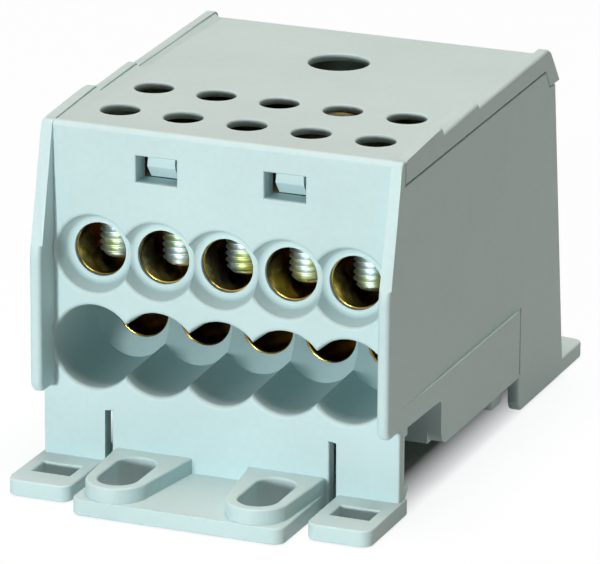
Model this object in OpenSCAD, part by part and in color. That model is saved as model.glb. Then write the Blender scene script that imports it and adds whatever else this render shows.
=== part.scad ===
// Power distribution block: a moulded housing with ten outlet entries and one inlet, a clipped cover,
// a drilled brass bar and eleven clamp screws. Millimetres, +Z up. While the pieces are drawn, Y = 0 is
// the housing's front face and the conductors leave along -Y; in_frame() then centres the footprint.

/* [Conductor entries] */
// Distance of the outer outlets from the outsides of the side walls
column_margin = 6.6; // [6.4:0.1:6.9]
// Height of the upper outlet row above the feet
upper_row_z = 28; // [27.5:0.1:29]
// Height of the lower outlet row above the feet
lower_row_z = 16.3; // [15.9:0.1:16.8]
// Bore of an outlet in the bar
outlet_bore_d = 6.3; // [5.8:0.1:6.6]
// Round recess round each upper entry
upper_recess_d = 9.6; // [8.8:0.1:10]
// Depth of the upper recesses and the inlet's
recess_depth = 2.2; // [1.6:0.1:2.3]
// How much the recesses narrow inwards, on the radius
dish_taper = 0.7; // [0.2:0.1:0.8]
// Mouth of each lower entry
lower_mouth_d = 10.5; // [9.6:0.1:10.8]
// Inner end of the lower entry's straight part
lower_throat_d = 9.9; // [9:0.1:10.2]
// Depth of the lower entry's straight part
lower_throat_depth = 12; // [10:0.1:12.5]
// Depth of the block that holds the lower entries
entry_depth = 14.9; // [14.6:0.1:15.2]
// Height of the inlet above the feet
inlet_z = 22.5; // [22:0.1:23.5]
// Bore of the inlet in the bar
inlet_bore_d = 12.3; // [10:0.1:13]
// Round recess round the inlet
inlet_recess_d = 17.2; // [15:0.1:18]
// Rounding of the entries' rims
rim_r = 0.5; // [0.2:0.1:0.5]

/* [Housing] */
// Width over the side walls
body_w = 46; // [45:0.5:50]
// Depth from the front face to the rear face
body_depth = 51.9; // [51:0.1:56]
// Thickness of the side walls
side_wall = 1.5; // [1.2:0.1:1.8]
// Thickness of the front and rear walls
end_wall = 2.7; // [2.5:0.1:3.2]
// Thickness of the floor under the bar
floor_t = 1.6; // [1.2:0.1:2.2]
// How far the side walls stand out in front of the front face
fin_out = 4; // [2:0.1:5]
// Height where the fins reach their full width
fin_knee_z = 28.5; // [24:0.5:34]
// Height of the side walls' lower edge at the front
side_low_z = 10.9; // [10.2:0.1:12]
// How far the side walls flare out behind the rear face at the foot
rear_flare = 5.7; // [3:0.1:7]
// How far the thick lower patch stands out of each side wall
pad_t = 0.3; // [0.2:0.05:0.5]
// Height of the top of the thick patch
pad_top_z = 13.7; // [12.5:0.1:16]

/* [Feet and rail clip] */
// Thickness of the feet
foot_t = 2.1; // [1.6:0.1:2.6]
// Width of the screw slots
slot_w = 5; // [4.2:0.1:5.4]
// Length of the screw slots, end to end
slot_len = 10; // [8:0.1:11]
// Distance of the slots from the middle plane
slot_x = 9; // [8.4:0.1:9.4]
// Distance of the slots' centres from the housing's faces
slot_reach = 7; // [6.8:0.1:8]
// Height of the raised rim round a slot
boss_h = 1.9; // [1:0.1:2.5]
// Radius of the rim's round end
boss_r = 3.9; // [3.4:0.1:4.2]
// How far the rim spreads towards the middle where it meets the wall
boss_root = 5.4; // [4:0.1:6]
// Distance of the slits beside the latch legs from the middle plane
slit_x = 14.5; // [14.4:0.1:15.2]
// Width of the slits
slit_w = 0.9; // [0.6:0.1:1.4]
// Height of the top of the slits
slit_top_z = 8.5; // [6:0.1:9.4]
// Gap between the middle foot and the latch feet
foot_gap = 1.6; // [1.2:0.1:2]
// Reach of the latch feet in front of the housing
latch_reach = 10.3; // [8:0.1:12]
// Thickness of the latch legs
latch_t = 1.8; // [1.4:0.1:2.2]
// How far the latch barbs stand out behind the legs
barb = 1.2; // [0.6:0.1:1.6]
// Window in each latch foot, width and depth
pry_window = [4.9, 3.4];
// Width of the mounting rail
rail_w = 35; // [35:0.1:35.5]
// Thickness of the rail's lips
rail_lip = 1; // [0.8:0.1:1.5]
// Height of the seat on the rail above the feet
rail_seat_z = 5; // [4.6:0.1:6]
// Front end of the rail seat
rail_seat_y = 13; // [12:0.1:16]

/* [Cover] */
// Thickness of the cover's plate
plate_t = 1; // [0.8:0.1:1.6]
// Room between the bar and the cover
head_room = 5.8; // [5.6:0.1:7]
// Peak height of the side ribs above the plate
rib_h = 1.1; // [0.8:0.1:1.6]
// Width of the side ribs
rib_w = 0.9; // [0.7:0.1:1.4]
// Width of the side skirts under the ribs
skirt_w = 1.7; // [1.6:0.1:2.2]
// Depth of the cover's side skirt at the front
skirt_front = 2.8; // [2.3:0.1:3.2]
// Depth of the cover's side skirt at the back
skirt_back = 1.8; // [1.3:0.1:2.2]
// Thickness of the front wall's rim in front of the cover
front_rim = 1; // [0.7:0.1:1.4]
// How far the rim stands above the cover's plate
rim_rise = 0.3; // [0:0.1:0.6]
// Drop of the cover's rear eave below the plate's top
eave_drop = 4.1; // [3.2:0.1:4.4]
// How far the eave stands out behind the rear face
eave_out = 2; // [1:0.1:2.6]
// Screwdriver holes over the outlet screws
driver_hole_d = 4.8; // [4:0.1:4.9]
// Screwdriver hole over the inlet screw
inlet_driver_hole_d = 7.6; // [6:0.1:7.9]
// Snap windows in the front wall, width and height
snap_window = [5.2, 3.2];
// Width of the snap hooks
hook_w = 3.6; // [2.6:0.1:4.8]
// Thickness of the snap hooks' tongues
hook_t = 1.3; // [1:0.1:1.6]
// How far the hooks reach into their windows
hook_bite = 1.1; // [0.6:0.1:1.6]

/* [Screws and bar] */
// Thread diameter of the outlet screws
outlet_screw_d = 5; // [4:0.1:5]
// Length of the upper outlet screws
upper_screw_len = 9.8; // [8:0.1:10]
// Length of the lower outlet screws
lower_screw_len = 12; // [9:0.1:14]
// Distance of the upper screws behind the bar's front
upper_screw_back = 5.4; // [4.5:0.1:5.8]
// Distance of the lower screws behind the bar's step
lower_screw_back = 3.3; // [3:0.1:4]
// Thread diameter of the inlet screw
inlet_screw_d = 8; // [6:0.1:9]
// Length of the inlet screw
inlet_screw_len = 12; // [10:0.1:12.5]
// Distance of the inlet screw from the bar's back
inlet_screw_back = 11.6; // [8:0.1:14]
// Height of the upper screws' tips above the bottom of the bores
upper_tip_gap = 0.9; // [0.9:0.1:6]
// Height of the lower screws' tips above the bottom of the bores
lower_tip_gap = 3.45; // [0.9:0.05:6]
// Height of the inlet screw's tip above the bottom of its bore
inlet_tip_gap = 8; // [1.5:0.1:12]
// Brass left under each bore
bar_web = 1.65; // [1.2:0.05:2]
// Length of thread above the upper bores
thread_land = 5.85; // [5:0.05:7]
// Depth of the bores behind the screws
bore_end = 2.5; // [1.5:0.1:2.6]

/* [Clearances] */
// Gap between the bar and the housing
bar_gap = 0.1; // [0.05:0.05:0.2]
// Gap between the cover and the housing
cover_gap = 0.1; // [0.05:0.05:0.2]
// Radial gap of a screw in its thread
thread_gap = 0.05; // [0.02:0.01:0.1]
// Gap between the housing's entry holes and the bar's bores, on the radius
entry_gap = 0.2; // [0.1:0.05:0.4]
// Gap on each side of the rail
rail_gap = 0.2; // [0.1:0.05:0.4]

/* [Hidden] */
$fn = 64;
columns = 5;
column_pitch = (body_w - 2 * column_margin) / (columns - 1);
column_x = [for (i = [0:columns - 1]) (i - (columns - 1) / 2) * column_pitch];
cut = 0.5;
arc_steps = 6;
moulding_grey = [0.78, 0.82, 0.81];
brass = [0.78, 0.62, 0.28];
plated_steel = [0.72, 0.73, 0.74];

inner_x = body_w / 2 - side_wall;
bar_bottom_z = lower_row_z - outlet_bore_d / 2 - bar_web;
bar_step_z = upper_row_z - outlet_bore_d / 2 - bar_web;
bar_top_z = upper_row_z + outlet_bore_d / 2 + thread_land;
bar_front_y = end_wall + bar_gap;
bar_step_y = entry_depth + bar_gap;
bar_back_y = body_depth - end_wall - bar_gap;
upper_screw_y = bar_front_y + upper_screw_back;
lower_screw_y = bar_step_y + lower_screw_back;
inlet_screw_y = bar_back_y - inlet_screw_back;
floor_top_z = bar_bottom_z - bar_gap;
floor_z = floor_top_z - floor_t;
plate_z = bar_top_z + head_room;
top_z = plate_z + plate_t;
rim_z = top_z + rim_rise;
entry_hole_d = outlet_bore_d + 2 * entry_gap;
inlet_hole_d = inlet_bore_d + 2 * entry_gap;
upper_tip_z = upper_row_z - outlet_bore_d / 2 + upper_tip_gap;
lower_tip_z = lower_row_z - outlet_bore_d / 2 + lower_tip_gap;
inlet_tip_z = inlet_z - inlet_bore_d / 2 + inlet_tip_gap;

outer_x = body_w / 2 + pad_t;
latch_foot_x = slit_x + slit_w / 2 + foot_gap / 8;
foot_half_w = latch_foot_x - foot_gap;
boss_end_y = slot_reach + slot_len / 2 - slot_w / 2;
foot_margin = 0.1;
foot_reach = boss_end_y + boss_r + foot_margin;
foot_corner_r = 1.4;
latch_w = outer_x - latch_foot_x;

hook_face_y = latch_t + rail_w + 2 * rail_gap;
rail_hook_t = 2;
rail_hook_lip = 2;
rail_hook_top_z = rail_seat_z - rail_lip - rail_gap;
rail_hook_z = rail_hook_top_z - rail_hook_lip;
rear_leg_gap = 1.8;
rear_leg_y = hook_face_y + rail_hook_t + rear_leg_gap;
rib_t = 1.4;
groove_size = [0.5, 0.45];
pad_end_y = rear_leg_y - 2.5 * pad_t;

skirt_x = body_w / 2 - skirt_w - cover_gap;
seam_front_z = top_z - skirt_front;
seam_back_z = top_z - skirt_back;
eave_z = top_z - eave_drop;
eave_tip_y = body_depth + eave_out;
eave_crest = 1.1;
eave_lap = 1;
seam_setback = 0.3;
eave_top_y = body_depth - eave_crest;
seam_back_y = body_depth - end_wall - seam_setback;
seam_foot_y = body_depth - end_wall / 2;
flare_top = 0.7;
wall_bevel = 1.6;
snap_land = 1.9;
snap_top_z = plate_z - snap_land;
snap_z = snap_top_z - snap_window[1];
snap_x = column_pitch;
rib_valley = 0.2 * rib_h;
rib_drop = 0.3 * rib_h;
tooth_run = 0.6;

edge_r = 0.7;
small_r = 0.3;
knee_r = 8;
dish_r = 0.8;
fin_corner_r = 1.4;
seat_corner_r = 2;
step_r = 0.6;
barb_slope = 0.4;
barb_land = 0.5;
barb_run = 2.8;
pry_shift = 0.4;
screw_chamfer = 0.14;
blade_slot = [0.18, 0.3];
socket_size = 0.5;

// Corner of an outline as an arc of radius r between the edges to a and c
function unit(v) = v / norm(v);
function corner(a, b, c, r) =
    r <= 0 ? [b] :
    let (u = unit(a - b), v = unit(c - b), half = acos(u * v) / 2)
    let (mid = b + unit(u + v) * r / sin(half), p = b + u * r / tan(half), q = b + v * r / tan(half))
    let (start = atan2(p.y - mid.y, p.x - mid.x), turn = atan2(q.y - mid.y, q.x - mid.x) - start)
    let (sweep = (turn + 540) % 360 - 180)
    [for (i = [0:arc_steps]) let (t = start + sweep * i / arc_steps) mid + r * [cos(t), sin(t)]];

// Outline whose points are [x, y, corner radius]
function rounded(pts) =
    let (n = len(pts), at = [for (p = pts) [p[0], p[1]]])
    [for (i = [0:n - 1]) each corner(at[(i + n - 1) % n], at[i], at[(i + 1) % n], pts[i][2])];

// Footprint centred on the origin
module in_frame() translate([0, -body_depth / 2, 0]) children();

// Outline in Y and Z, drawn out from x0 to x1
module across(x0, x1, pts) translate([x0, 0, 0]) rotate([90, 0, 90])
    linear_extrude(x1 - x0) polygon(rounded(pts));

// Outline in X and Y, drawn up from z0 to z1
module upright(z0, z1, pts) translate([0, 0, z0]) linear_extrude(z1 - z0) polygon(rounded(pts));

module block(low, high) translate(low) cube(high - low);

module both_sides() {
    children();
    mirror([1, 0, 0]) children();
}

// Mirror image about the plane midway between the front and rear faces
module to_rear() translate([0, body_depth, 0]) mirror([0, 1, 0]) children();

// Round hole or cone along Y
module bore(x, z, y0, y1, d0, d1) translate([x, y0, z]) rotate([-90, 0, 0])
    cylinder(h = y1 - y0, d1 = d0, d2 = d1);

// Rounded mouth of a round recess in the front face
module mouth(x, z, d) translate([x, 0, z]) rotate([-90, 0, 0])
    rotate_extrude() difference() {
        translate([0, -cut]) square([d / 2 + rim_r, rim_r + cut]);
        translate([d / 2 + rim_r, rim_r]) circle(rim_r);
    }

// Recess that narrows inwards to a floor with a rounded corner
module dish(x, z, d) translate([x, 0, z]) rotate([-90, 0, 0]) rotate_extrude() polygon(rounded([
    [0, -cut, 0],
    [d / 2, -cut, 0],
    [d / 2, rim_r, 0],
    [d / 2 - dish_taper, recess_depth, dish_r],
    [0, recess_depth, 0]
]));

// Side wall with its front fin, rail seat and rear leg
module side_plate() across(inner_x, body_w / 2, [
    [0, rim_z, edge_r],
    [-fin_out, fin_knee_z, knee_r],
    [-fin_out, side_low_z, fin_corner_r],
    [rail_seat_y, side_low_z, step_r],
    [rail_seat_y, rail_seat_z, seat_corner_r],
    [rear_leg_y, rail_seat_z, small_r],
    [rear_leg_y, 0, fin_corner_r],
    [body_depth + rear_flare, 0, 0],
    [body_depth + flare_top, eave_z, 0],
    [seam_foot_y, eave_z, 0],
    [seam_back_y, seam_back_z, 0],
    [front_rim, seam_front_z, 0],
    [front_rim, rim_z, small_r]
]);

// Thick lower patch on the outside of a side wall, fading out towards the front
module side_pad() difference() {
    across(body_w / 2 - cut, outer_x, [
        [0, pad_top_z, 0],
        [0, side_low_z, 0],
        [rail_seat_y, side_low_z, step_r],
        [rail_seat_y, rail_seat_z, seat_corner_r],
        [pad_end_y, rail_seat_z, 0],
        [pad_end_y, pad_top_z, small_r]
    ]);
    upright(side_low_z - cut, pad_top_z + cut, [
        [body_w / 2, 0, 0],
        [outer_x, rail_seat_y, 0],
        [outer_x + cut, rail_seat_y, 0],
        [outer_x + cut, -cut, 0],
        [body_w / 2, -cut, 0]
    ]);
}

// Groove between the thick patch and the rear leg
module side_groove() block([body_w / 2 - groove_size[0], rear_leg_y, rail_seat_z],
                           [outer_x + cut, rear_leg_y + groove_size[1], pad_top_z]);

// Front wall, thinner at the latch legs and at the rim, with the ledge that the cover's plate lies on
module front_wall() {
    across(-body_w / 2, body_w / 2, [
        [0, 0, 0],
        [latch_t, 0, 0],
        [latch_t, floor_z, 0],
        [end_wall, floor_z, 0],
        [end_wall, seam_front_z, 0],
        [front_rim, seam_front_z, 0],
        [front_rim, rim_z, small_r],
        [0, rim_z, edge_r]
    ]);
    block([-skirt_x, front_rim - cut, seam_front_z - cut], [skirt_x, end_wall, plate_z - cover_gap]);
}

// Rear wall, chamfered under the cover's eave
module rear_wall() across(-body_w / 2, body_w / 2, [
    [body_depth - end_wall, 0, 0],
    [body_depth, 0, 0],
    [body_depth, eave_z, 0],
    [seam_foot_y, eave_z, 0],
    [body_depth - end_wall, eave_z + wall_bevel, 0]
]);

// Raised rim round a screw slot
module boss() {
    upright(0, foot_t + boss_h, [
        [slot_x - boss_root, 0, 0],
        [slot_x - boss_r, -boss_end_y, 0],
        [slot_x + boss_r, -boss_end_y, 0],
        [foot_half_w, 0, 0]
    ]);
    translate([slot_x, -boss_end_y, 0]) cylinder(h = foot_t + boss_h, r = boss_r);
}

module slot_cut() {
    for (end = [-1, 1]) translate([slot_x, -slot_reach + end * (slot_len - slot_w) / 2, -cut])
        cylinder(h = foot_t + boss_h + 2 * cut, d = slot_w);
    block([slot_x - slot_w / 2, -slot_reach - (slot_len - slot_w) / 2, -cut],
          [slot_x + slot_w / 2, -slot_reach + (slot_len - slot_w) / 2, foot_t + boss_h + cut]);
}

// Foot plate of the given half width in front of the front face
module foot(half_w) upright(0, foot_t, [
    [-half_w, cut, 0],
    [-half_w, -foot_reach, foot_corner_r],
    [half_w, -foot_reach, foot_corner_r],
    [half_w, cut, 0]
]);

// Foot of a latch leg, with the window for a screwdriver's blade, and the barb behind the leg
module latch() {
    window_x = latch_foot_x + latch_w / 2;
    window_y = -latch_reach / 2 + pry_shift;
    difference() {
        upright(0, foot_t, [
            [latch_foot_x, latch_t, 0],
            [latch_foot_x, -latch_reach, foot_corner_r],
            [outer_x, -latch_reach, foot_corner_r],
            [outer_x, latch_t, 0]
        ]);
        block([window_x - pry_window[0] / 2, window_y - pry_window[1] / 2, -cut],
              [window_x + pry_window[0] / 2, window_y + pry_window[1] / 2, foot_t + cut]);
    }
    across(latch_foot_x, body_w / 2, [
        [latch_t - cut, rail_hook_top_z, 0],
        [latch_t + barb, rail_hook_top_z - barb_slope, small_r / 2],
        [latch_t + barb, rail_hook_top_z - barb_slope - barb_land, small_r / 2],
        [latch_t - cut, rail_hook_top_z - barb_run, 0]
    ]);
}

// Floor, ribs that sit on the rail, and the fixed hook behind it
module underside() {
    block([-inner_x, end_wall - cut, floor_z], [inner_x, body_depth - end_wall + cut, floor_top_z]);
    block([-inner_x, rail_seat_y, rail_seat_z], [inner_x, rail_seat_y + rib_t, floor_top_z]);
    for (x = [-inner_x / 2, 0, inner_x / 2])
        block([x - rib_t / 2, rail_seat_y, rail_seat_z], [x + rib_t / 2, hook_face_y + cut, floor_top_z]);
    across(-inner_x, inner_x, [
        [hook_face_y, floor_top_z, 0],
        [hook_face_y, rail_hook_top_z, 0],
        [hook_face_y - rail_hook_lip, rail_hook_top_z, small_r],
        [hook_face_y - rail_hook_lip, rail_hook_z, edge_r],
        [hook_face_y + rail_hook_t, rail_hook_z, edge_r],
        [hook_face_y + rail_hook_t, floor_top_z, 0]
    ]);
}

// Straight part and funnel of a lower entry
module lower_entry(x) {
    mouth(x, lower_row_z, lower_mouth_d);
    bore(x, lower_row_z, 0, lower_throat_depth, lower_mouth_d, lower_throat_d);
    bore(x, lower_row_z, lower_throat_depth, entry_depth, lower_throat_d, entry_hole_d);
    bore(x, lower_row_z, entry_depth - cut, entry_depth + cut, entry_hole_d, entry_hole_d);
}

module upper_entry(x) {
    mouth(x, upper_row_z, upper_recess_d);
    dish(x, upper_row_z, upper_recess_d);
    bore(x, upper_row_z, -cut, end_wall + cut, entry_hole_d, entry_hole_d);
}

module inlet_entry() to_rear() {
    mouth(0, inlet_z, inlet_recess_d);
    dish(0, inlet_z, inlet_recess_d);
    bore(0, inlet_z, -cut, end_wall + cut, inlet_hole_d, inlet_hole_d);
}

// Window that a snap hook of the cover bites into
module snap_cut() block([snap_x - snap_window[0] / 2, -cut, snap_z],
                        [snap_x + snap_window[0] / 2, end_wall + cut, snap_top_z]);

module slit() block([slit_x - slit_w / 2, -cut, -cut], [slit_x + slit_w / 2, latch_t + cut, slit_top_z]);

module housing() color(moulding_grey) in_frame() difference() {
    union() {
        both_sides() {
            side_plate();
            side_pad();
            latch();
            boss();
            to_rear() boss();
        }
        front_wall();
        rear_wall();
        block([-inner_x - cut, 0, floor_z], [inner_x + cut, entry_depth, bar_step_z - bar_gap]);
        underside();
        foot(foot_half_w);
        to_rear() foot(body_w / 2);
    }
    for (x = column_x) {
        upper_entry(x);
        lower_entry(x);
    }
    inlet_entry();
    both_sides() {
        side_groove();
        slit();
        slot_cut();
        to_rear() slot_cut();
        snap_cut();
    }
}

// Side skirt of the cover, as thick as the wall, with the stepped rib along its outer edge
module cover_side() {
    step = (seam_back_y - front_rim) / 4;
    valley_z = top_z + rib_valley;
    peak_z = top_z + rib_h;
    seam = [
        [front_rim + cover_gap, seam_front_z + cover_gap, 0],
        [seam_back_y, seam_back_z + cover_gap, 0],
        [seam_foot_y + cover_gap, eave_z + cover_gap, 0],
        [eave_tip_y, eave_z + cover_gap, 0]
    ];
    across(body_w / 2 - skirt_w, body_w / 2, concat(seam, [
        [eave_top_y, top_z, edge_r],
        [front_rim + cover_gap, top_z, 0]
    ]));
    across(body_w / 2 - rib_w, body_w / 2, concat(seam, [
        [eave_top_y, peak_z - 2 * rib_drop, edge_r],
        [eave_top_y - eave_crest, peak_z - rib_drop / 2, edge_r],
        [front_rim + 2 * step + tooth_run, valley_z, 0],
        [front_rim + 2 * step, peak_z - rib_drop, 0],
        [front_rim + step + tooth_run, valley_z, 0],
        [front_rim + step, peak_z, 0],
        [front_rim + cover_gap, valley_z, small_r]
    ]));
}

// Snap hook behind the front wall
module snap_hook() across(snap_x - hook_w / 2, snap_x + hook_w / 2, [
    [end_wall + cover_gap, plate_z + cut, 0],
    [end_wall + cover_gap, snap_top_z - cover_gap, 0],
    [end_wall - hook_bite, snap_top_z - cover_gap, small_r],
    [end_wall - hook_bite, snap_top_z - snap_window[1] / 2, small_r],
    [end_wall + cover_gap, snap_z + cover_gap, 0],
    [end_wall + cover_gap + hook_t, snap_z + cover_gap, small_r],
    [end_wall + cover_gap + hook_t, plate_z + cut, 0]
]);

module top_cover() color(moulding_grey) in_frame() difference() {
    union() {
        block([-inner_x + cover_gap, front_rim + cover_gap, plate_z],
              [inner_x - cover_gap, seam_back_y, top_z]);
        // Eave that covers the top of the rear wall
        across(-body_w / 2, body_w / 2, [
            [seam_back_y - eave_lap, seam_back_z + cover_gap, 0],
            [seam_back_y, seam_back_z + cover_gap, 0],
            [seam_foot_y + cover_gap, eave_z + cover_gap, 0],
            [eave_tip_y, eave_z + cover_gap, 0],
            [eave_top_y, top_z, edge_r],
            [seam_back_y - eave_lap, top_z, 0]
        ]);
        both_sides() {
            cover_side();
            snap_hook();
        }
    }
    for (x = column_x, y = [upper_screw_y, lower_screw_y])
        translate([x, y, plate_z - cut]) cylinder(h = plate_t + 2 * cut, d = driver_hole_d);
    translate([0, inlet_screw_y, plate_z - cut]) cylinder(h = plate_t + 2 * cut, d = inlet_driver_hole_d);
}

// Threaded hole from the top of the bar down to the axis of a bore
module tapped(x, y, z, d) translate([x, y, z])
    cylinder(h = bar_top_z - z + cut, d = d + 2 * thread_gap);

module terminal_bar() color(brass) in_frame() difference() {
    past_screw = outlet_screw_d / 2 + bore_end;
    past_inlet_screw = inlet_screw_d / 2 + bore_end;
    across(-inner_x + bar_gap, inner_x - bar_gap, [
        [bar_front_y, bar_step_z, 0],
        [bar_step_y, bar_step_z, 0],
        [bar_step_y, bar_bottom_z, 0],
        [bar_back_y, bar_bottom_z, 0],
        [bar_back_y, bar_top_z, 0],
        [bar_front_y, bar_top_z, 0]
    ]);
    for (x = column_x) {
        bore(x, upper_row_z, bar_front_y - cut, upper_screw_y + past_screw, outlet_bore_d, outlet_bore_d);
        bore(x, lower_row_z, bar_step_y - cut, lower_screw_y + past_screw, outlet_bore_d, outlet_bore_d);
        tapped(x, upper_screw_y, upper_row_z, outlet_screw_d);
        tapped(x, lower_screw_y, lower_row_z, outlet_screw_d);
    }
    bore(0, inlet_z, inlet_screw_y - past_inlet_screw, bar_back_y + cut, inlet_bore_d, inlet_bore_d);
    tapped(0, inlet_screw_y, inlet_z, inlet_screw_d);
}

// Headless screw standing on its chamfered tip
module clamp_screw(d, length) {
    chamfer = screw_chamfer * d;
    cylinder(h = chamfer, d1 = d - 2 * chamfer, d2 = d);
    translate([0, 0, chamfer]) cylinder(h = length - chamfer, d = d);
}

// Outlet screw with a slot for a blade
module outlet_screw(at, length) color(plated_steel) in_frame() translate(at) difference() {
    slot = blade_slot * outlet_screw_d;
    clamp_screw(outlet_screw_d, length);
    block([-outlet_screw_d, -slot[0] / 2, length - slot[1]], [outlet_screw_d, slot[0] / 2, length + cut]);
}

module upper_screw(i)
    outlet_screw([column_x[i], upper_screw_y, upper_tip_z], upper_screw_len);

module lower_screw(i)
    outlet_screw([column_x[i], lower_screw_y, lower_tip_z], lower_screw_len);

// Inlet screw with a hexagon socket
module inlet_screw() color(plated_steel) in_frame()
    translate([0, inlet_screw_y, inlet_tip_z]) difference() {
        socket = socket_size * inlet_screw_d;
        clamp_screw(inlet_screw_d, inlet_screw_len);
        translate([0, 0, inlet_screw_len - socket]) cylinder(h = socket + cut, d = socket / cos(30), $fn = 6);
    }

housing();
top_cover();
terminal_bar();
inlet_screw();
for (i = [1:columns]) {
    upper_screw(i - 1);
    lower_screw(i - 1);
}
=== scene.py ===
import math

import bmesh
import bpy
from bpy.props import FloatProperty, FloatVectorProperty, IntProperty, PointerProperty
from mathutils import Matrix, Vector


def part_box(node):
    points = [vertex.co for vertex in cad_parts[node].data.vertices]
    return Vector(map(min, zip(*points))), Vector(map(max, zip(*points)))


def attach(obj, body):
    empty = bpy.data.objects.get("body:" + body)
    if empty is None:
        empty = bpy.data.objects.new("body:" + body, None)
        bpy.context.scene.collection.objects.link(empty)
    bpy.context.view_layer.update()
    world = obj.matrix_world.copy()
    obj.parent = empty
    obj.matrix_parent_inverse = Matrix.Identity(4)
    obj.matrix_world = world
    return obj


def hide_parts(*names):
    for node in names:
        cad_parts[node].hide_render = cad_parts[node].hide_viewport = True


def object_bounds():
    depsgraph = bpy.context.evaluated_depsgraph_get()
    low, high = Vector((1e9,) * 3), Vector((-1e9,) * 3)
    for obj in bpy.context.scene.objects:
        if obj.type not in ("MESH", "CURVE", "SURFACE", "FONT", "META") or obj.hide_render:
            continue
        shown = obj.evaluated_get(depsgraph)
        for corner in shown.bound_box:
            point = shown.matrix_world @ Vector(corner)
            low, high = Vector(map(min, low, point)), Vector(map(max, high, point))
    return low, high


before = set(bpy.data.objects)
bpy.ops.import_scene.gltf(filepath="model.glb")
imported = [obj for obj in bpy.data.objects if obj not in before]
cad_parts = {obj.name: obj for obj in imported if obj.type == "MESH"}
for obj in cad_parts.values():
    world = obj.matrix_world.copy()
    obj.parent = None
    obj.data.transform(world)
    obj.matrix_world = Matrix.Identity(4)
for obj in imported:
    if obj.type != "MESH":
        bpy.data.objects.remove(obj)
CAD_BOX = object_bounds()

bl_info = {
    "name": "Power Distribution Block",
    "version": (1, 0, 0),
    "blender": (4, 5, 0),
    "location": "3D View > Sidebar > Power Block",
    "description": "Dresses the packed block with moulded edges, threaded screws, finishes and a studio",
    "category": "Object",
}

BODY = "block"

# Places that tell the parts of the mouldings apart, in metres
FIN_X, ENTRIES_X, PATCH_X = 0.0214, 0.0225, 0.02302
FACE_Y = 0.0259
ENTRIES_Z = (0.0105, 0.0400)
RIBS_Z = 0.0440

# The cover's ribs in the solids: their inner side, the plate beside them and the start of the last tooth
RIB_WIDTH, RIB_HEIGHT = 0.0009, 0.0011
COVER_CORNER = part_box("top_cover")[1]
RIB_X = COVER_CORNER.x - RIB_WIDTH
PLATE_Z = COVER_CORNER.z - RIB_HEIGHT
LAST_TOOTH_Y = -0.0005
TOOTH_EDGE = 0.0005

# Turns between faces: those that count as flat, are rounded, are shaded sharp, or are folded
FLAT_TURN = math.radians(0.6)
ROUND_TURN = math.radians(50)
SHARP_OUTWARD, SHARP_INWARD = math.radians(46), math.radians(20)
FOLD_TURN = math.radians(45)

# Distances below which points are one and faces have no width
NEAR = 1e-5
WELD, FINE_SLIVER, SLIVER = 2e-6, 1e-6, 1e-5
THREAD_WELD, THREAD_CUT = 1e-7, 1e-8

# Room that a rounding needs across a face and beside a point, as shares of its width
FACE_ROOM, POINT_ROOM = 2.0, 1.2
WIDE_STEPS, FINE_STEPS = 4, 2

# One turn of a thread: its depth, flanks and crest as shares of the pitch
THREAD_DEPTH = 0.6
FLANK_START, CREST_START, CREST_END, FLANK_END = 0.12, 0.46, 0.58, 0.92
SPARE_TURNS = 2

# Forms of the screws as shares of their radius
CHAMFER = 0.28
SLOT_LENGTH, SLOT_WIDTH, SLOT_DEPTH = 4.0, 0.36, 0.6
SOCKET_SIZE, SOCKET_DEPTH = 0.5, 1.0

# Turns of the screws about their axes in degrees, so that no two slots lie alike
ROW_LENGTH = 5
ROW_TURNS = {"upper": 20.0, "lower": 65.0}
NEXT_TURN, INLET_TURN = 47.0, 12.0

# Lighter and darker clouds of the moulding, and stains of the zinc, as shares of their colours
PALE, DULL = 1.035, 0.955
STAIN = (0.84, 0.80, 0.36)

# Place, diameter and colour of each lamp
LAMPS = {
    "front": ((-0.20, -1.25, 0.09), 0.15, (0.95, 0.96, 0.955)),
    "top": ((0.0, -0.02, 1.3), 0.7, (1.0, 0.81, 0.73)),
    "side": ((1.2, 0.2, 0.5), 0.9, (0.6, 1.0, 0.5)),
}
SKY_COLOUR = (1.0, 0.82, 0.73)
WHITE = (1.0, 1.0, 1.0)

# The floor, and the part under the block that stays dark, as half its width and depth
FLOOR_SIZE, FLOOR_GAP = 6.0, 0.0001
FLOOR_WHITE, FLOOR_STRENGTH = (0.965, 0.99, 1.0), 1.12
FOOTPRINT = {"X": 0.0175, "Y": 0.025}
FLOOR_FADE = 0.006

SENSOR_WIDTH = 36.0
VIEW_REACH = 30.0


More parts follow.
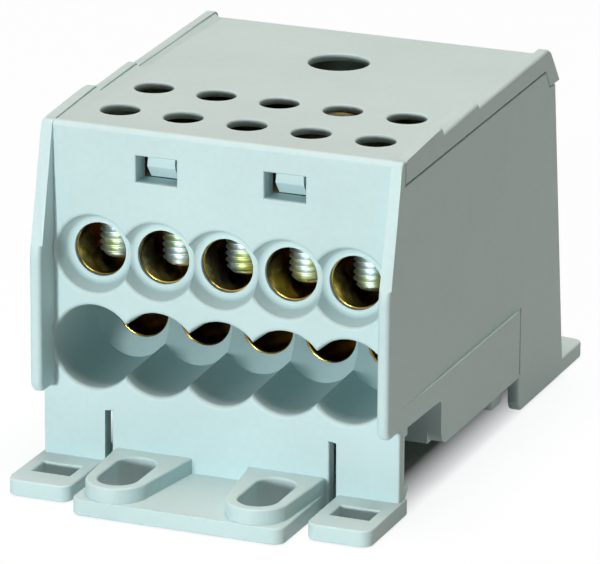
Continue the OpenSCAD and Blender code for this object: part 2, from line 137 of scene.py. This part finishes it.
class BlockSizes(bpy.types.PropertyGroup):
    """Small forms that the solids leave out."""

    mould_round: FloatProperty(
        name="Moulded edge", description="Radius on the outer edges of the mouldings",
        default=0.00025, min=0.0, unit="LENGTH")
    tight_round: FloatProperty(
        name="Tight edge", description="Radius on the moulded edges that lack room for the full one",
        default=0.00008, min=0.0, unit="LENGTH")
    fin_round: FloatProperty(
        name="Fin edge", description="Radius on the edges of the front fins",
        default=0.00055, min=0.0, unit="LENGTH")
    rib_round: FloatProperty(
        name="Rib edge", description="Radius on the edges of the cover's ribs",
        default=0.00035, min=0.0, unit="LENGTH")
    rib_crest: FloatProperty(
        name="Rib crest", description="Inner edge of the ribs' crests, from the middle of the cover",
        default=0.0217, min=0.0, unit="LENGTH")
    rib_drop: FloatProperty(
        name="Rib drop", description="Height of the ribs' crests over their inner slopes",
        default=0.0003, min=0.0, unit="LENGTH")
    near_foot: FloatProperty(
        name="Near foot", description="Foot of the ribs' front slopes, from the middle of the cover",
        default=0.0198, min=0.0, unit="LENGTH")
    far_foot: FloatProperty(
        name="Far foot", description="Foot of the ribs' rear slopes, from the middle of the cover",
        default=0.0209, min=0.0, unit="LENGTH")
    bar_round: FloatProperty(
        name="Bar edge", description="Broken edge round the bar and its bores",
        default=0.0002, min=0.0, unit="LENGTH")
    outlet_pitch: FloatProperty(
        name="Outlet pitch", description="Thread pitch of the outlet screws",
        default=0.0008, min=0.0003, unit="LENGTH")
    inlet_pitch: FloatProperty(
        name="Inlet pitch", description="Thread pitch of the inlet screw",
        default=0.00125, min=0.0003, unit="LENGTH")
    thread_steps: IntProperty(
        name="Thread steps", description="Steps in one turn of a thread",
        default=40, min=12, max=96)


class BlockColours(bpy.types.PropertyGroup):
    """Colours of the finishes."""

    moulding: FloatVectorProperty(
        name="Moulding", description="Grey of the housing and cover",
        default=(0.48, 0.66, 0.68), size=3, min=0.0, max=1.0, subtype="COLOR")
    brass: FloatVectorProperty(
        name="Brass", description="Cut faces of the bar",
        default=(0.62, 0.41, 0.08), size=3, min=0.0, max=1.0, subtype="COLOR")
    # Near-black patches of the bar: partly real tarnish and partly painted shade, darkening the bar at
    # random to stand in for its shaded bores
    tarnish_and_shade: FloatVectorProperty(
        name="Tarnish", description="Dull patches of the bar",
        default=(0.07, 0.04, 0.01), size=3, min=0.0, max=1.0, subtype="COLOR")
    zinc: FloatVectorProperty(
        name="Zinc", description="Plating of the screws",
        default=(0.73, 0.88, 0.90), size=3, min=0.0, max=1.0, subtype="COLOR")
    floor: FloatVectorProperty(
        name="Floor", description="Studio floor",
        default=(0.60, 0.60, 0.60), size=3, min=0.0, max=1.0, subtype="COLOR")


class BlockStage(bpy.types.PropertyGroup):
    """Camera and lamps."""

    camera_place: FloatVectorProperty(
        name="Camera", description="Where the camera stands",
        default=(0.24465, -0.60395, 0.23402), size=3, subtype="TRANSLATION", unit="LENGTH")
    camera_aim: FloatVectorProperty(
        name="Aim", description="Point in the middle of the picture",
        default=(0.001714, -0.00499, 0.020523), size=3, subtype="TRANSLATION", unit="LENGTH")
    camera_roll: FloatProperty(
        name="Roll", description="Turn of the camera about its view",
        default=math.radians(0.346), subtype="ANGLE")
    camera_lens: FloatProperty(
        name="Lens", description="Focal length in millimetres on a 36 mm sensor",
        default=335.91, min=50.0)
    front_power: FloatProperty(
        name="Front lamp", description="Power of the soft lamp at the front left",
        default=12.9, min=0.0, subtype="POWER")
    top_power: FloatProperty(
        name="Top lamp", description="Power of the warm soft lamp overhead",
        default=17.2, min=0.0, subtype="POWER")
    side_power: FloatProperty(
        name="Side lamp", description="Power of the weak lamp at the right rear",
        default=0.5, min=0.0, subtype="POWER")
    sky: FloatProperty(
        name="Sky", description="Strength of the even light from all round", default=0.04, min=0.0)
    floor_glow: FloatProperty(
        name="Floor glow", description="Share of plain white in the floor away from the block",
        default=0.8, min=0.0, max=1.0)


class BlockSettings(bpy.types.PropertyGroup):
    """All settings of the block."""

    sizes: PointerProperty(type=BlockSizes)
    colours: PointerProperty(type=BlockColours)
    stage: PointerProperty(type=BlockStage)


class Shade:
    """A shader socket; sums and products of it add Math nodes to its tree."""

    MIX_LOW, MIX_HIGH, MIX_RESULT = 6, 7, 2

    def __init__(self, tree, socket=None):
        self.tree = tree
        self.socket = socket

    def node(self, kind, settings=None, inputs=None, out=0):
        """Adds a node, with its settings first and then the values or links of its sockets."""
        node = self.tree.nodes.new(kind)
        for name, value in (settings or {}).items():
            setattr(node, name, value)
        for name, value in (inputs or {}).items():
            if isinstance(value, Shade):
                self.tree.links.new(value.socket, node.inputs[name])
            else:
                node.inputs[name].default_value = value
        return Shade(self.tree, node.outputs[out] if len(node.outputs) else None)

    def maths(self, operation, other=0.0):
        return self.node("ShaderNodeMath", {"operation": operation}, {0: self, 1: other})

    def __add__(self, other):
        return self.maths("ADD", other)

    def __sub__(self, other):
        return self.maths("SUBTRACT", other)

    def __rsub__(self, other):
        return self * -1.0 + other

    def __mul__(self, other):
        return self.maths("MULTIPLY", other)

    __radd__ = __add__
    __rmul__ = __mul__

    def blend(self, low, high):
        """Colour between low and high, with this value as the share of high."""
        return self.node(
            "ShaderNodeMix", {"data_type": "RGBA"},
            {0: self, self.MIX_LOW: (*low, 1.0), self.MIX_HIGH: (*high, 1.0)}, out=self.MIX_RESULT)

    def noise(self, scale, detail, stretch=(1.0, 1.0, 1.0)):
        """Cloudy pattern on object coordinates, scale in spots per metre."""
        place = self.node("ShaderNodeTexCoord", out="Object")
        place = self.node("ShaderNodeMapping", inputs={"Vector": place, "Scale": stretch})
        return self.node("ShaderNodeTexNoise", inputs={"Vector": place, "Scale": scale, "Detail": detail})

    def window(self, low, high):
        """This value spread from low..high to 0..1 and clamped."""
        return self.node("ShaderNodeMapRange", inputs={"Value": self, "From Min": low, "From Max": high})

    def bump(self, strength, depth):
        """Normal of a surface that this value raises by up to depth."""
        return self.node("ShaderNodeBump", inputs={"Strength": strength, "Distance": depth, "Height": self})


def new_material(name):
    material = bpy.data.materials.new(name)
    material.use_nodes = True
    tree = material.node_tree
    tree.nodes.clear()
    return material, Shade(tree)


def finish_material(shade, sockets):
    """Puts a Principled shader with these sockets behind the output."""
    skin = shade.node("ShaderNodeBsdfPrincipled", inputs=sockets)
    shade.node("ShaderNodeOutputMaterial", inputs={"Surface": skin})


def moulded_plastic(name, colour):
    """Satin thermoplastic with a fine eroded grain and faint flow clouds."""
    material, shade = new_material(name)
    clouds = shade.noise(scale=55.0, detail=4.0)
    specks = shade.noise(scale=1400.0, detail=2.0)
    grain = shade.noise(scale=5200.0, detail=2.0)
    dull, pale = (tuple(min(1.0, c * share) for c in colour) for share in (DULL, PALE))
    base = (0.75 * clouds + 0.25 * specks).window(low=0.35, high=0.65).blend(dull, pale)
    rough = 0.40 + 0.10 * clouds + 0.06 * grain
    finish_material(shade, {"Base Color": base, "Roughness": rough, "IOR": 1.5, "Specular IOR Level": 0.28,
                            "Normal": grain.bump(strength=0.22, depth=0.00002)})
    return material


def drilled_brass(name, bright, tarnished_and_shaded):
    """Drawn brass with lines along the bar and near-black patches, partly real tarnish and partly painted
    shade for the dark insides of the bores.
    """
    material, shade = new_material(name)
    lines = shade.noise(scale=2600.0, detail=3.0, stretch=(0.04, 1.0, 1.0))
    patches = shade.noise(scale=160.0, detail=4.0)
    # Dark patches: partly real tarnish, partly painted shade that stands in for the shaded insides of the
    # bores
    base = (0.8 * patches + 0.2 * lines).window(low=0.34, high=0.56).blend(bright, tarnished_and_shaded)
    rough = 0.09 + 0.10 * lines + 0.08 * patches
    finish_material(shade, {"Base Color": base, "Roughness": rough, "Metallic": 1.0,
                            "Normal": lines.bump(strength=0.25, depth=0.00002)})
    return material


def zinc_plate(name, colour):
    """Bright zinc with a slightly uneven, lightly stained skin."""
    material, shade = new_material(name)
    stain = shade.noise(scale=420.0, detail=4.0)
    fine = shade.noise(scale=3800.0, detail=2.0)
    stained = tuple(c * share for c, share in zip(colour, STAIN))
    base = stain.window(low=0.44, high=0.68).blend(colour, stained)
    rough = 0.30 + 0.14 * stain + 0.06 * fine
    finish_material(shade, {"Base Color": base, "Roughness": rough, "Metallic": 1.0,
                            "Normal": fine.bump(strength=0.15, depth=0.00001)})
    return material


def weld(bm, thinnest):
    """Joins points that coincide and takes out edges and faces thinner than thinnest."""
    bmesh.ops.remove_doubles(bm, verts=bm.verts, dist=WELD)
    bmesh.ops.dissolve_degenerate(bm, dist=thinnest, edges=bm.edges)


def unfold(bm):
    """Takes out sharp corners between two edges alone, where two faces lie on each other."""
    folds = [v for v in bm.verts if len(v.link_edges) == 2 and v.calc_edge_angle(0.0) > FOLD_TURN]
    bmesh.ops.dissolve_verts(bm, verts=folds)


def add_piece(name, bm, material, node, body):
    """Turns a bmesh into a piece that stands for a CAD node and rides on its body."""
    weld(bm, SLIVER)
    bmesh.ops.recalc_face_normals(bm, faces=bm.faces)
    smooth_faces(bm)
    mesh = bpy.data.meshes.new(name)
    bm.to_mesh(mesh)
    bm.free()
    mesh.materials.append(material)
    piece = bpy.data.objects.new(name, mesh)
    bpy.context.scene.collection.objects.link(piece)
    steady = piece.modifiers.new("steady_normals", "WEIGHTED_NORMAL")
    steady.keep_sharp = True
    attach(piece, body)
    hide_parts(node)


def merged_copy(node):
    """Copy of a CAD node's mesh with its triangles joined and its flat faces made whole."""
    bm = bmesh.new()
    bm.from_mesh(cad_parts[node].data)
    weld(bm, FINE_SLIVER)
    bmesh.ops.dissolve_limit(bm, angle_limit=FLAT_TURN, verts=bm.verts, edges=bm.edges)
    return bm


def on_fin(place):
    """True on the fins that stand out in front of the entries."""
    return abs(place.x) > FIN_X and place.y < -FACE_Y and place.z > ENTRIES_Z[0]


def on_rib(place):
    """True on the ribs along the cover's sides."""
    return abs(place.x) > FIN_X and place.z > RIBS_Z


def on_outside(place):
    """True away from the entries and the thick patches, whose edges the solids round themselves."""
    between = abs(place.y) < FACE_Y
    inside = abs(place.x) < ENTRIES_X and ENTRIES_Z[0] < place.z < ENTRIES_Z[1]
    return not (between and (inside or abs(place.x) > PATCH_X))


def on_plate(vert):
    """True for a point in the plane of the cover's upper face."""
    return abs(vert.co.z - PLATE_Z) < NEAR


def point_on_plate(bm, x, y):
    """New point at that place on an edge along Y of the cover's upper face, or None past its ends."""
    for edge in bm.edges:
        if all(on_plate(v) and abs(v.co.x - x) < NEAR for v in edge.verts):
            start, end = sorted(edge.verts, key=lambda v: v.co.y)
            if start.co.y < y < end.co.y:
                share = (y - start.co.y) / (end.co.y - start.co.y)
                return bmesh.utils.edge_split(edge, start, share)[1]
    return None


def join_points(start, end):
    """Splits the face that two points share by an edge between them."""
    face = next(f for f in start.link_faces if end in f.verts)
    bmesh.utils.face_split(face, start, end)


def cut_plate(bm, side, distance):
    """Cuts the cover's upper face along Y on one side and joins what lies beyond the cut into one face."""
    upper = [f for f in bm.faces if all(map(on_plate, f.verts))]
    whole = {*upper, *(e for f in upper for e in f.edges), *(v for f in upper for v in f.verts)}
    bmesh.ops.bisect_plane(bm, geom=list(whole), dist=NEAR,
                           plane_co=(side * distance, 0.0, 0.0), plane_no=(1.0, 0.0, 0.0))
    beyond = {f for f in bm.faces
              if all(on_plate(v) and side * v.co.x > distance - NEAR for v in f.verts)}
    inner = {e for f in beyond for e in f.edges if beyond.issuperset(e.link_faces)}
    bmesh.ops.dissolve_edges(bm, edges=list(inner), use_verts=False)


def slope_ribs(bm, sizes):
    """Widens the cover's ribs and leads each down to the plate by a low drop and a long slope."""
    far_share = (sizes.far_foot - sizes.near_foot) / (sizes.rib_crest - sizes.near_foot)
    for side in (-1, 1):
        cut_plate(bm, side, sizes.near_foot)
        cut_plate(bm, side, sizes.far_foot)
        wall = next(f for f in bm.faces if all(abs(v.co.x - side * RIB_X) < NEAR for v in f.verts)
                    and any(v.co.z > RIBS_Z for v in f.verts))
        crest = [v for v in wall.verts if v.co.z > PLATE_Z + NEAR]
        teeth = {v for e in wall.edges if e.calc_length() > TOOTH_EDGE for v in e.verts if v in crest}
        raised = []
        for top in sorted(teeth, key=lambda v: v.co.y):
            low = point_on_plate(bm, side * RIB_X, top.co.y)
            if low:
                middle = point_on_plate(bm, side * sizes.far_foot, top.co.y)
                foot = point_on_plate(bm, side * sizes.near_foot, top.co.y)
                join_points(top, low)
                join_points(low, middle)
                join_points(middle, foot)
                raised.append((top, low, middle))
        for vert in crest:
            vert.co.x = side * sizes.rib_crest
        for top, low, middle in raised:
            low.co = (top.co.x, top.co.y, max(PLATE_Z, top.co.z - sizes.rib_drop))
            if top.co.y < LAST_TOOTH_Y:
                middle.co.z += far_share * (low.co.z - PLATE_Z)


def has_room(edge, chosen, width):
    """True if the faces and the other edges at an edge leave room for a rounding of that width."""
    start, end = (v.co for v in edge.verts)
    along = (end - start).normalized()
    length = edge.calc_length()
    for face in edge.link_faces:
        others = [v.co - start for v in face.verts if v not in edge.verts]
        if max(o.cross(along).length for o in others) < FACE_ROOM * width:
            return False
        if any(0 < o.dot(along) < length and o.cross(along).length < POINT_ROOM * width for o in others):
            return False
    for vert in edge.verts:
        others = [e for e in vert.link_edges if e != edge]
        if any(e.calc_length() < POINT_ROOM * width for e in others if e.index not in chosen):
            return False
        if length < 2 * POINT_ROOM * width and sum(e.index in chosen for e in others) > 1:
            return False
    return True


def round_edges(bm, width, wanted, steps=FINE_STEPS):
    """Rounds the wanted sharp outward edges that have room for it."""
    bm.edges.index_update()
    edges = [e for e in bm.edges
             if len(e.link_faces) == 2 and e.calc_face_angle_signed(0.0) > ROUND_TURN
             and wanted((e.verts[0].co + e.verts[1].co) / 2)]
    count = 0
    while len(edges) != count:
        count = len(edges)
        chosen = {e.index for e in edges}
        edges = [e for e in edges if has_room(e, chosen, width)]
    bmesh.ops.bevel(bm, geom=edges, offset=width, offset_type="OFFSET", segments=steps, profile=0.5,
                    affect="EDGES", clamp_overlap=False, material=-1)


def smooth_faces(bm):
    """Smooth shading, but for sharp edges."""
    for face in bm.faces:
        face.smooth = True
    for edge in bm.edges:
        turn = edge.calc_face_angle_signed(0.0) if len(edge.link_faces) == 2 else 0.0
        edge.smooth = -SHARP_INWARD < turn < SHARP_OUTWARD


def screw_size(node):
    """Radius and length of a screw's CAD node."""
    low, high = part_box(node)
    return (high.x - low.x) / 2, high.z - low.z


def thread_body(radius, length, pitch, steps):
    """Closed threaded rod on the Z axis from z = 0, with both ends chamfered."""
    root = radius - THREAD_DEPTH * pitch
    bm = bmesh.new()
    outline = ((root, 0.0), (root, FLANK_START), (radius, CREST_START),
               (radius, CREST_END), (root, FLANK_END), (root, 1.0))
    verts = [bm.verts.new((r, 0.0, (z - SPARE_TURNS) * pitch)) for r, z in outline]
    edges = [bm.edges.new(pair) for pair in zip(verts, verts[1:])]
    turns = math.ceil(length / pitch) + SPARE_TURNS + 1
    bmesh.ops.spin(bm, geom=verts + edges, cent=(0, 0, 0), axis=(0, 0, 1), dvec=(0, 0, pitch / steps),
                   angle=turns * math.tau, steps=turns * steps, use_merge=False, use_duplicate=False)
    bmesh.ops.remove_doubles(bm, verts=bm.verts, dist=THREAD_WELD)
    for height, keep_above in ((0.0, True), (length, False)):
        bmesh.ops.bisect_plane(bm, geom=bm.verts[:] + bm.edges[:] + bm.faces[:], dist=THREAD_CUT,
                               plane_co=(0, 0, height), plane_no=(0, 0, 1),
                               clear_inner=keep_above, clear_outer=not keep_above)
    bmesh.ops.holes_fill(bm, edges=[e for e in bm.edges if e.is_boundary], sides=0)
    for v in bm.verts:
        limit = radius - CHAMFER * radius + min(v.co.z, length - v.co.z)
        reach = math.hypot(v.co.x, v.co.y)
        if reach > limit:
            v.co.x *= limit / reach
            v.co.y *= limit / reach
    bmesh.ops.remove_doubles(bm, verts=bm.verts, dist=THREAD_WELD)
    bmesh.ops.recalc_face_normals(bm, faces=bm.faces)
    return bm


def cut_away(bm, cutter):
    """bm less the closed shape cutter, both given as bmeshes; both are freed."""
    objects = []
    for name, shape in (("cut_body", bm), ("cut_tool", cutter)):
        mesh = bpy.data.meshes.new(name)
        shape.to_mesh(mesh)
        shape.free()
        obj = bpy.data.objects.new(name, mesh)
        bpy.context.scene.collection.objects.link(obj)
        objects.append(obj)
    body, tool = objects
    cut = body.modifiers.new("cut", "BOOLEAN")
    cut.operation = "DIFFERENCE"
    cut.solver = "EXACT"
    cut.object = tool
    bpy.context.view_layer.update()
    done = body.evaluated_get(bpy.context.evaluated_depsgraph_get())
    result = bmesh.new()
    result.from_mesh(done.to_mesh())
    done.to_mesh_clear()
    for obj in objects:
        mesh = obj.data
        bpy.data.objects.remove(obj)
        bpy.data.meshes.remove(mesh)
    return result


def screw_at(bm, node, turn):
    """Places a screw that stands on the origin where its CAD node is, turned about its axis."""
    low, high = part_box(node)
    place = Matrix.Translation(((low.x + high.x) / 2, (low.y + high.y) / 2, low.z))
    bmesh.ops.transform(bm, matrix=place @ Matrix.Rotation(turn, 4, "Z"), verts=bm.verts)


class PieceOperator:
    """What the block's operators share."""

    bl_options = {"REGISTER", "UNDO"}

    def settings(self, context):
        return context.scene.power_block


class POWERBLOCK_OT_mouldings(PieceOperator, bpy.types.Operator):
    """Make the housing and its cover with rounded moulded edges"""

    bl_idname = "power_block.mouldings"
    bl_label = "Mouldings"

    def execute(self, context):
        settings = self.settings(context)
        sizes = settings.sizes
        plastic = moulded_plastic("satin_grey_moulding", settings.colours.moulding)
        housing = merged_copy("housing")
        self.round_moulding(housing, sizes, on_fin, sizes.fin_round)
        add_piece("housing_moulding", housing, plastic, "housing", BODY)
        cover = merged_copy("top_cover")
        slope_ribs(cover, sizes)
        self.round_moulding(cover, sizes, on_rib, sizes.rib_round)
        add_piece("top_cover_moulding", cover, plastic, "top_cover", BODY)
        return {"FINISHED"}

    def round_moulding(self, bm, sizes, wide_part, width):
        """Rounds a moulding's wide part first, then its other edges, then those with little room."""
        round_edges(bm, width, wide_part, WIDE_STEPS)
        round_edges(bm, sizes.mould_round, on_outside)
        round_edges(bm, sizes.tight_round, on_outside)
        weld(bm, SLIVER)
        unfold(bm)


class POWERBLOCK_OT_bar(PieceOperator, bpy.types.Operator):
    """Make the brass bar with broken edges round its bores"""

    bl_idname = "power_block.bar"
    bl_label = "Brass Bar"

    def execute(self, context):
        settings = self.settings(context)
        # The patch colour is partly real tarnish and partly painted shade for the dark bores
        brass = drilled_brass("drawn_brass", settings.colours.brass, settings.colours.tarnish_and_shade)
        bm = merged_copy("terminal_bar")
        round_edges(bm, settings.sizes.bar_round, bool)
        add_piece("drilled_bar", bm, brass, "terminal_bar", BODY)
        return {"FINISHED"}


class POWERBLOCK_OT_outlet_screws(PieceOperator, bpy.types.Operator):
    """Make the slotted, threaded outlet screws"""

    bl_idname = "power_block.outlet_screws"
    bl_label = "Outlet Screws"

    def execute(self, context):
        settings = self.settings(context)
        zinc = zinc_plate("zinc_plate", settings.colours.zinc)
        sizes = settings.sizes
        for row, first_turn in ROW_TURNS.items():
            radius, length = screw_size(f"{row}_screw_1")
            rod = thread_body(radius, length, sizes.outlet_pitch, sizes.thread_steps)
            blade = bmesh.new()
            bmesh.ops.create_cube(blade, size=1.0)
            bmesh.ops.scale(blade, verts=blade.verts,
                            vec=(SLOT_LENGTH * radius, SLOT_WIDTH * radius, 2 * SLOT_DEPTH * radius))
            bmesh.ops.translate(blade, verts=blade.verts, vec=(0.0, 0.0, length))
            pattern = cut_away(rod, blade)
            for i in range(1, ROW_LENGTH + 1):
                node = f"{row}_screw_{i}"
                bm = pattern.copy()
                screw_at(bm, node, math.radians(first_turn + NEXT_TURN * i))
                add_piece(f"{row}_clamp_screw_{i}", bm, zinc, node, node)
            pattern.free()
        return {"FINISHED"}


class POWERBLOCK_OT_inlet_screw(PieceOperator, bpy.types.Operator):
    """Make the threaded inlet screw with its hexagon socket"""

    bl_idname = "power_block.inlet_screw"
    bl_label = "Inlet Screw"

    def execute(self, context):
        settings = self.settings(context)
        zinc = zinc_plate("inlet_zinc_plate", settings.colours.zinc)
        sizes = settings.sizes
        radius, length = screw_size("inlet_screw")
        rod = thread_body(radius, length, sizes.inlet_pitch, sizes.thread_steps)
        socket = bmesh.new()
        corner = SOCKET_SIZE * radius / math.cos(math.radians(30))
        bmesh.ops.create_cone(
            socket, cap_ends=True, segments=6, radius1=corner, radius2=corner,
            depth=2 * SOCKET_DEPTH * radius, matrix=Matrix.Translation((0, 0, length)))
        bm = cut_away(rod, socket)
        screw_at(bm, "inlet_screw", math.radians(INLET_TURN))
        add_piece("inlet_clamp_screw", bm, zinc, "inlet_screw", "inlet_screw")
        return {"FINISHED"}


class POWERBLOCK_OT_stage(PieceOperator, bpy.types.Operator):
    """Set the floor, lamps, sky and camera"""

    bl_idname = "power_block.stage"
    bl_label = "Studio"

    def execute(self, context):
        settings = self.settings(context)
        scene = context.scene
        scene.view_settings.view_transform = "Standard"
        stage = settings.stage
        self.add_floor(scene, settings.colours.floor, stage.floor_glow)
        self.add_sky(scene, stage.sky)
        for side, (place, size, colour) in LAMPS.items():
            self.add_lamp(scene, side + "_lamp", place, size, getattr(stage, side + "_power"), colour)
        self.add_camera(scene, stage)
        return {"FINISHED"}

    def add_floor(self, scene, colour, glow):
        """Pale floor that turns white for the camera away from the block and keeps the shadow."""
        bm = bmesh.new()
        bmesh.ops.create_grid(bm, x_segments=1, y_segments=1, size=FLOOR_SIZE)
        bmesh.ops.translate(bm, verts=bm.verts, vec=(0.0, 0.0, CAD_BOX[0][2] - FLOOR_GAP))
        mesh = bpy.data.meshes.new("studio_floor")
        bm.to_mesh(mesh)
        bm.free()
        material, shade = new_material("pale_floor")
        matt = shade.node("ShaderNodeBsdfDiffuse", inputs={"Color": (*colour, 1.0)})
        white = shade.node("ShaderNodeEmission",
                           inputs={"Color": (*FLOOR_WHITE, 1.0), "Strength": FLOOR_STRENGTH})
        place = shade.node("ShaderNodeTexCoord", out="Object")
        beside, before = (
            shade.node("ShaderNodeSeparateXYZ", inputs={0: place}, out=axis).maths("ABSOLUTE") - half
            for axis, half in FOOTPRINT.items())
        share = glow * beside.maths("MAXIMUM", before).window(0.0, FLOOR_FADE) * self.seen_directly(shade)
        mixed = shade.node("ShaderNodeMixShader", inputs={0: share, 1: matt, 2: white})
        shade.node("ShaderNodeOutputMaterial", inputs={"Surface": mixed})
        mesh.materials.append(material)
        floor = bpy.data.objects.new("studio_floor", mesh)
        scene.collection.objects.link(floor)

    def seen_directly(self, shade):
        """1 for rays from the camera and for those that metal or glass send on."""
        camera = shade.node("ShaderNodeLightPath", out="Is Camera Ray")
        glossy = shade.node("ShaderNodeLightPath", out="Is Glossy Ray")
        passed = shade.node("ShaderNodeLightPath", out="Is Transmission Ray")
        return (camera + glossy + passed).window(0.0, 1.0)

    def add_sky(self, scene, strength):
        """Faint warm light from all round, white where it is seen directly."""
        world = bpy.data.worlds.new("studio_sky")
        world.use_nodes = True
        world.node_tree.nodes.clear()
        shade = Shade(world.node_tree)
        light, white = (
            shade.node("ShaderNodeBackground", inputs={"Color": (*colour, 1.0), "Strength": power})
            for colour, power in ((SKY_COLOUR, strength), (WHITE, 1.0)))
        mixed = shade.node("ShaderNodeMixShader", inputs={0: self.seen_directly(shade), 1: light, 2: white})
        shade.node("ShaderNodeOutputWorld", inputs={"Surface": mixed})
        scene.world = world

    def add_lamp(self, scene, name, place, size, power, colour):
        """Round soft lamp that points at the block's foot."""
        data = bpy.data.lights.new(name, "AREA")
        data.shape = "DISK"
        data.size = size
        data.energy = power
        data.color = colour
        lamp = bpy.data.objects.new(name, data)
        lamp.location = place
        lamp.rotation_euler = (-Vector(place)).to_track_quat("-Z", "Y").to_euler()
        scene.collection.objects.link(lamp)

    def add_camera(self, scene, stage):
        """Long lens that looks from place to aim, with a slight roll."""
        data = bpy.data.cameras.new("studio_camera")
        data.lens = stage.camera_lens
        data.sensor_width = SENSOR_WIDTH
        data.clip_end = VIEW_REACH
        camera = bpy.data.objects.new("studio_camera", data)
        place, aim = Vector(stage.camera_place), Vector(stage.camera_aim)
        turn = (aim - place).to_track_quat("-Z", "Y").to_matrix().to_4x4()
        camera.matrix_world = Matrix.Translation(place) @ turn @ Matrix.Rotation(stage.camera_roll, 4, "Z")
        scene.collection.objects.link(camera)
        scene.camera = camera


OPERATORS = (
    POWERBLOCK_OT_mouldings,
    POWERBLOCK_OT_bar,
    POWERBLOCK_OT_outlet_screws,
    POWERBLOCK_OT_inlet_screw,
    POWERBLOCK_OT_stage,
)


class POWERBLOCK_PT_sidebar(bpy.types.Panel):
    """Sidebar panel of the block"""

    bl_idname = "POWERBLOCK_PT_sidebar"
    bl_label = "Power Block"
    bl_space_type = "VIEW_3D"
    bl_region_type = "UI"
    bl_category = "Power Block"

    def draw(self, context):
        settings = context.scene.power_block
        for group in (settings.sizes, settings.colours, settings.stage):
            box = self.layout.box()
            for name in group.__annotations__:
                box.prop(group, name)
        for operator in OPERATORS:
            self.layout.operator(operator.bl_idname)


CLASSES = (BlockSizes, BlockColours, BlockStage, BlockSettings, *OPERATORS, POWERBLOCK_PT_sidebar)


def register():
    for cls in CLASSES:
        bpy.utils.register_class(cls)
    bpy.types.Scene.power_block = PointerProperty(type=BlockSettings)


def unregister():
    del bpy.types.Scene.power_block
    for cls in reversed(CLASSES):
        bpy.utils.unregister_class(cls)


def main():
    register()
    bpy.ops.power_block.mouldings()
    bpy.ops.power_block.bar()
    bpy.ops.power_block.outlet_screws()
    bpy.ops.power_block.inlet_screw()
    bpy.ops.power_block.stage()


if __name__ == "__main__":
    main()
